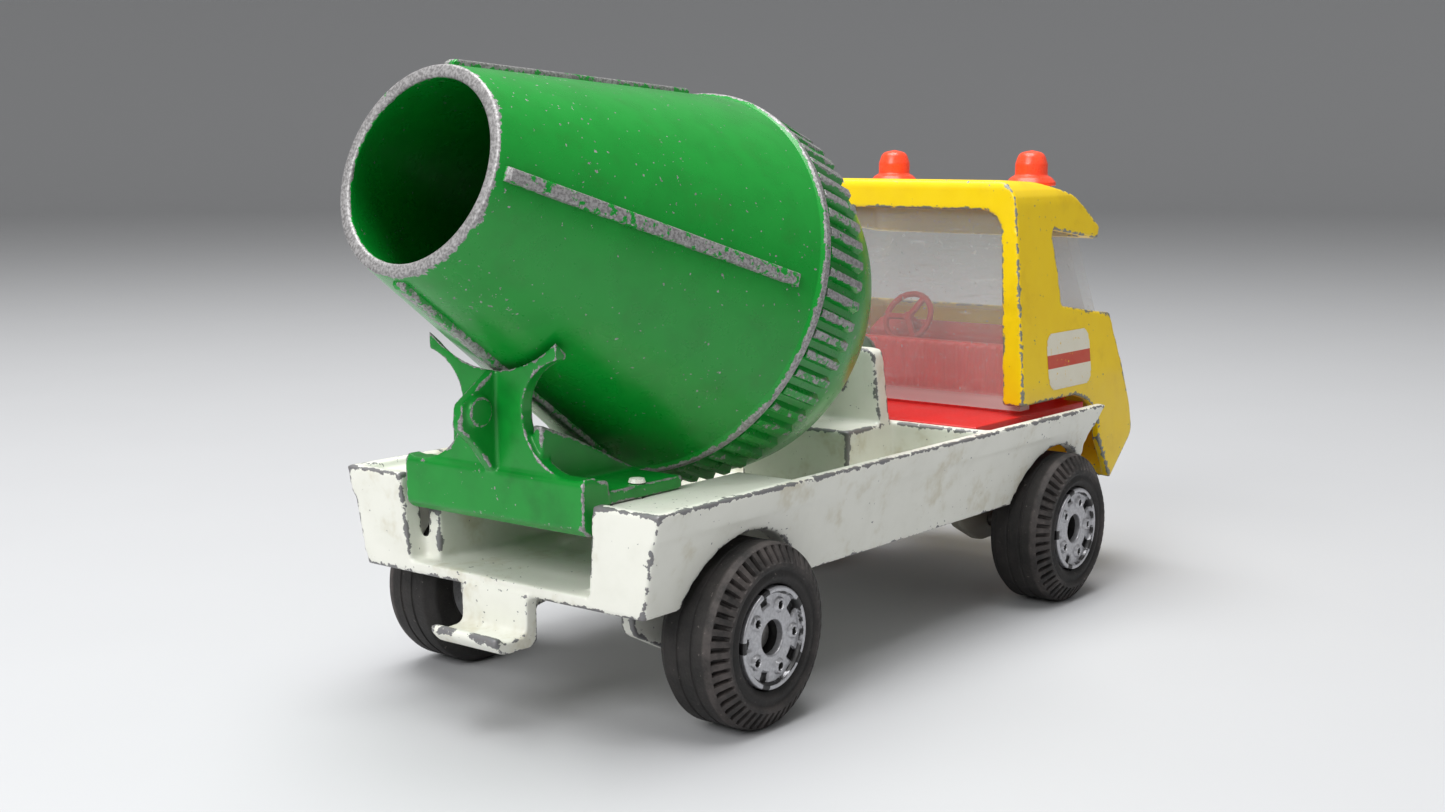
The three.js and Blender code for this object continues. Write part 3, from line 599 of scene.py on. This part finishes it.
MOUTH_RADIUS = 10.85
DRUM_WALL = 1.42
CONE_LENGTH = 39.3
CONE_END_RADIUS = 22.0
BEAD_RADIUS = 22.5
BEAD_END = 40.2
BAND_START = 40.6
BAND_END = 47.1
BAND_RADIUS = 22.4
GROOVE_RADIUS = 21.65
DOME_RADIUS = 21.0
DOME_HEIGHT = 17.0
RIB_COUNT = 60
RIB_SEGMENTS = 12
WORN_RIBS_AT = 250
BAR_START = 1.0
BAR_END = 36.2
BAR_WIDTH = 1.45
BAR_HEIGHT = 0.62
BAR_STEPS = 120
CONE_SEGMENTS = 288
STUB_RADIUS = 2.75
STUB_END = 79.5
BORE_RADIUS = 1.35


def axis_place(joint):
    """Frame at a hinge: origin on its point, +Z along its axis, turned the shortest way from +Z."""
    axis = Vector(joint["axis"]).normalized()
    turn = Vector((0, 0, 1)).rotation_difference(axis).to_matrix().to_4x4()
    return Matrix.Translation(joint["pos_m"]) @ turn


def cone_radius(s):
    return MOUTH_RADIUS + (CONE_END_RADIUS - MOUTH_RADIUS) * s / (CONE_LENGTH - 0.5)


def drum_cone_mesh(place):
    corners = [
        (MOUTH_RADIUS - DRUM_WALL, 0.0, 0.35),
        (MOUTH_RADIUS, 0.0, 0.35),
        (CONE_END_RADIUS, CONE_LENGTH - 0.5, 0.3),
        (BEAD_RADIUS, CONE_LENGTH, 0.2),
        (BEAD_RADIUS, BEAD_END, 0.25),
        (CONE_END_RADIUS - DRUM_WALL, BEAD_END),
        (CONE_END_RADIUS - DRUM_WALL, CONE_LENGTH),
    ]

    def worn(radius, s, angle):
        rim = np.clip(1.25 - s / 0.4, 0, 1.1)
        bead = np.clip((radius - CONE_END_RADIUS - 0.15) / 0.25, 0, 0.95) * (s > CONE_LENGTH - 0.6)
        return np.maximum(rim, bead)

    shell = spun("drum_cone_casting", dense(rounded(corners), 0.9), CONE_SEGMENTS, place, wear=worn)
    parts = [shell]
    for quarter in range(4):
        parts.append(drum_bar(place @ Matrix.Rotation(quarter * math.pi / 2, 4, "Z"), quarter))
    return joined(parts)


def drum_bar(place, quarter):
    """One raised bar along the cone, its top rubbed to bare metal."""
    length = BAR_END - BAR_START
    half = BAR_WIDTH / 2
    section = [
        (half, -0.6),
        (half, BAR_HEIGHT - 0.25),
        (half - 0.12, BAR_HEIGHT - 0.06),
        (half - 0.3, BAR_HEIGHT),
        (0.0, BAR_HEIGHT + 0.02),
    ]
    section += [(-y, h) for y, h in reversed(section[:-1])]
    rings = []
    wear = []
    for step in range(BAR_STEPS + 1):
        s = BAR_START + length * step / BAR_STEPS
        end_drop = 0.3 * (step in (0, BAR_STEPS))
        for y, h in section:
            rings.append((cone_radius(s) + min(h, BAR_HEIGHT - end_drop), y, s))
            wear.append(0.72 if h > 0.3 else 0.3)
    count = len(section)
    last = BAR_STEPS * count
    faces = [tuple(range(count)), tuple(reversed(range(last, last + count)))]
    for step in range(BAR_STEPS):
        for i in range(count):
            k = (i + 1) % count
            a, b = step * count, (step + 1) * count
            faces.append((a + i, b + i, b + k, a + k))
    mesh = bpy.data.meshes.new(f"drum_bar_{quarter}")
    mesh.from_pydata(rings, [], faces)
    add_wear_and_shade(mesh, wear)
    tidy(mesh, 1e-4)
    mesh.transform(place @ Matrix.Scale(MM, 4))
    smooth_shaded(mesh)
    return link(mesh.name, mesh)


def joined(parts):
    """One object from several; the first keeps its name."""
    bpy.ops.object.select_all(action="DESELECT")
    for part in parts:
        part.select_set(True)
    bpy.context.view_layer.objects.active = parts[0]
    bpy.ops.object.join()
    return parts[0]


def drum_base_mesh(place):
    dome = [
        (DOME_RADIUS * math.cos(turn), BAND_END + DOME_HEIGHT * math.sin(turn))
        for turn in np.linspace(0.02, math.radians(82.6), 34)
    ]
    outer = rounded([
        (GROOVE_RADIUS - 1.6, BAND_START),
        (BAND_RADIUS, BAND_START, 0.12),
        (BAND_RADIUS, BAND_END, 0.25),
        (DOME_RADIUS, BAND_END, 0.1),
    ])
    dome_top = BAND_END + DOME_HEIGHT
    stub = rounded([(STUB_RADIUS, dome_top - 0.1), (STUB_RADIUS, STUB_END, 0.3), (BORE_RADIUS, STUB_END)])
    inner_radius = DOME_RADIUS - DRUM_WALL
    inner_height = DOME_HEIGHT - DRUM_WALL
    inner = [
        (BORE_RADIUS, BAND_END + inner_height),
        *[(inner_radius * math.cos(turn), BAND_END + inner_height * math.sin(turn))
          for turn in np.linspace(math.radians(80), 0.02, 20)],
        (19.0, BAND_END),
        (18.3, 45.0),
        (18.3, 36.9),
        (19.4, 36.9),
        (20.2, CONE_LENGTH),
    ]
    points = [Vector(tuple(p)) for p in [*outer, *dome, *stub, *inner]]
    pitch = 2 * math.pi / RIB_COUNT

    def ribbed(radius, s, angle):
        phase = np.abs((angle / pitch + 0.5) % 1 - 0.5)
        top = np.clip((0.31 - phase) / 0.12, 0, 1)
        top = top * top * (3 - 2 * top)
        on_band = (radius > GROOVE_RADIUS) & (s < BAND_END + 0.01)
        return np.where(on_band, GROOVE_RADIUS + (radius - GROOVE_RADIUS) * top, radius), s

    def worn(radius, s, angle):
        height = (radius - GROOVE_RADIUS) / (BAND_RADIUS - GROOVE_RADIUS)
        side = np.clip(np.cos(angle - math.radians(WORN_RIBS_AT)), 0, 1) ** 2
        return np.where(s < BAND_END + 0.01, np.clip(height - 0.25, 0, 1) * (0.45 + 0.8 * side), 0)

    return spun("drum_base_casting", dense(points, 0.8), RIB_COUNT * RIB_SEGMENTS, place,
                form=ribbed, wear=worn)


def make_drum():
    place = axis_place(JOINTS["drum_spin"])
    paint = worn_paint("green_paint_drum", rgb(16, 142, 48), rgb(10, 116, 38), rgb(70, 100, 50),
                       edge=1.0, specks=1.7, stains=0.10, rough=0.26)
    settle(dressed(drum_cone_mesh(place), paint), "drum", "green_paint", "drum_cone")
    settle(dressed(drum_base_mesh(place), paint), "drum", "green_paint", "drum_base")


# ---- wheels ----

LUG_COUNT = 48
LUG_SEGMENTS = 8
STUD_COUNT = 5
STUD_PLACE = 3.5
HUB_SEGMENTS = 240


def wheel_place(end, side):
    """Frame on a wheel's outer face: +Z out of the lorry."""
    low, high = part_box(f"tyre_{end}_{side}")
    centre = (low + high) / 2
    face = high.y if SIDES[side] > 0 else low.y
    turn = Matrix.Rotation(-SIDES[side] * math.pi / 2, 4, "X")
    return Matrix.Translation((centre.x, face, centre.z)) @ turn


def tyre_mesh(name, place):
    corners = [
        (5.65, -7.5, 0.2),
        (5.65, -0.6, 0.3),
        (6.4, -0.12, 0.4),
        (7.2, -0.34, 0.25),
        (7.55, 0.0, 0.2),
        (8.0, 0.0, 0.2),
        (9.78, -1.15, 0.2),
        (10.0, -1.8, 0.4),
        (10.0, -3.2), (9.86, -3.3), (9.86, -3.55), (10.0, -3.65),
        (10.0, -5.0), (9.86, -5.1), (9.86, -5.35), (10.0, -5.45),
        (10.0, -7.0, 0.6),
        (9.0, -8.25, 0.6),
        (6.4, -8.1, 0.4),
    ]
    pitch = 2 * math.pi / LUG_COUNT

    def slotted(radius, z, angle):
        phase = np.abs((angle / pitch) % 1 - 0.5)
        slot = np.clip((0.24 - phase) / 0.08, 0, 1)
        across = np.clip((radius - 7.95) / 0.2, 0, 1) * np.clip((9.72 - radius) / 0.15, 0, 1)
        depth = 0.6 * slot * across * (z > -1.7)
        return radius - depth * 0.35, z - depth

    def worn(radius, z, angle):
        return np.clip((radius - 7.2) / 0.6, 0, 1) * (z > -1.9)

    return spun(name, dense(rounded(corners), 0.32), LUG_COUNT * LUG_SEGMENTS, place,
                form=slotted, wear=worn)


def hub_mesh(name, place):
    corners = [
        (1.35, -7.9),
        (2.6, -7.9, 0.2),
        (2.6, -6.9),
        (5.5, -6.9),
        (5.5, -0.12, 0.2),
        (4.95, -0.12, 0.2),
        (4.75, -0.6, 0.15),
        (1.9, -0.5, 0.2),
        (1.75, -3.0),
        (1.35, -3.0),
    ]

    def distance_to_studs(radius, angle):
        pitch = 2 * math.pi / STUD_COUNT
        offset = (angle + pitch / 2) % pitch - pitch / 2
        return np.hypot(radius * np.cos(offset) - STUD_PLACE, radius * np.sin(offset))

    def on_face(radius, z):
        return (radius > 1.95) & (radius < 4.78) & (z > -0.8)

    def vent(radius, angle):
        pitch = 2 * math.pi / STUD_COUNT
        offset = np.abs(angle % pitch - pitch / 2) * radius
        return np.clip((0.75 - offset) / 0.25, 0, 1) * np.clip((radius - 3.6) / 0.3, 0, 1)

    def shaped(radius, z, angle):
        studs = distance_to_studs(radius, angle)
        stud = 0.32 * np.clip((0.85 - studs) / 0.15, 0, 1)
        hole = 0.5 * np.clip((0.45 - studs) / 0.12, 0, 1)
        return radius, z + np.where(on_face(radius, z), stud - hole - 0.45 * vent(radius, angle), 0)

    # painted shade: 1 in the bore, high in stud holes, vents and the rim groove, 0.3 on the hub's hidden
    # back; the hub material turns it near-black
    def shaded_recesses(radius, z, angle):
        studs = distance_to_studs(radius, angle)
        hole = np.clip((0.5 - studs) / 0.12, 0, 1)
        gutter = np.clip(1 - np.abs(radius - 4.85) / 0.25, 0, 0.55) * (z > -1)
        face = np.maximum(np.maximum(hole, vent(radius, angle) * 0.9), gutter)
        return np.where(radius < 1.85, 1.0, np.where(z > -1.2, face, 0.3))

    return spun(name, dense(rounded(corners), 0.16), HUB_SEGMENTS, place, form=shaped, wear=shaded_recesses)


def make_wheels():
    rubber = dusty_rubber()
    silver = silver_hub()
    steel = bare_steel()
    for end in ENDS:
        frame["nodes"][f"{end}_axle"].data.materials[0] = steel
        for side in SIDES:
            body = f"wheel_{end}_{side}"
            place = wheel_place(end, side)
            settle(dressed(tyre_mesh(f"tyre_{end}_{side}_rubber", place), rubber),
                   body, "tyre_rubber", f"tyre_{end}_{side}")
            settle(dressed(hub_mesh(f"hub_{end}_{side}_silver", place), silver),
                   body, "silver_plastic", f"hub_{end}_{side}")
    for node in ("drum_spindle", "spindle_washer", "cab_rivet", "carrier_rivet"):
        frame["nodes"][node].data.materials[0] = steel


# ---- beacons ----


def make_beacons():
    lens = beacon_lens()
    for side in SIDES:
        low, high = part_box(f"beacon_{side}")
        foot = Vector(((low.x + high.x) / 2, (low.y + high.y) / 2, low.z))
        corners = [
            (0.0, 0.0), (1.2, 0.0, 0.2), (1.2, 3.5), (3.4, 3.5, 0.15), (3.4, 4.0, 0.2), (2.9, 4.6, 0.4),
            (2.25, 5.0, 0.3), (2.25, 6.5, 1.2), (1.75, 8.05, 1.2), (0.0, 8.42),
        ]
        piece = spun(f"beacon_{side}_lens", dense(rounded(corners, 6), 0.5, closed=False), 64,
                     Matrix.Translation(foot), closed=False)
        settle(dressed(piece, lens), "chassis", "beacon_plastic", f"beacon_{side}")


# ---- stage ----


FLOOR_RADIUS = 1500
COVE_RADIUS = 600


def make_stage():
    """Pale round floor that sweeps up into a cove, so that no horizon shows."""
    sweep = [(FLOOR_RADIUS + COVE_RADIUS * math.sin(turn), COVE_RADIUS * (1 - math.cos(turn)))
             for turn in np.linspace(0, math.pi / 2, 16)]
    floor = spun("floor", [(0.0, 0.0), *sweep], 96, Matrix.Identity(4), closed=False)
    s = Shader("floor_grey")
    dressed(floor, s.out(colour=rgb(186, 187, 189), rough=s.between(s.noise(30), 0.5, 0.6)))


def soft_light(name, place, target, size, power, colour=(1, 1, 1)):
    light = bpy.data.lights.new(name, "AREA")
    light.shape = "RECTANGLE"
    light.size, light.size_y = size
    light.energy = power
    light.color = colour
    holder = bpy.data.objects.new(name, light)
    holder.location = place
    holder.rotation_euler = (Vector(target) - Vector(place)).to_track_quat("-Z", "Y").to_euler()
    bpy.context.scene.collection.objects.link(holder)


def make_light():
    world = bpy.data.worlds.new("studio")
    world.use_nodes = True
    world.node_tree.nodes["Background"].inputs["Color"].default_value = rgb(205, 205, 205)
    world.node_tree.nodes["Background"].inputs["Strength"].default_value = 0.55
    bpy.context.scene.world = world
    soft_light("top_light", (-0.05, 0.05, 0.62), (0, 0, 0.03), (0.55, 0.45), 5.4)
    soft_light("rear_light", (-0.55, -0.02, 0.38), (0, 0, 0.03), (0.35, 0.3), 2.4)
    bpy.context.scene.view_settings.view_transform = "Standard"


make_camera()
cab_casting = make_castings()
bpy.context.view_layer.update()
make_labels(cab_casting)
make_nose(cab_casting)
make_interior()
make_drum()
make_wheels()
make_beacons()
make_stage()
make_light()
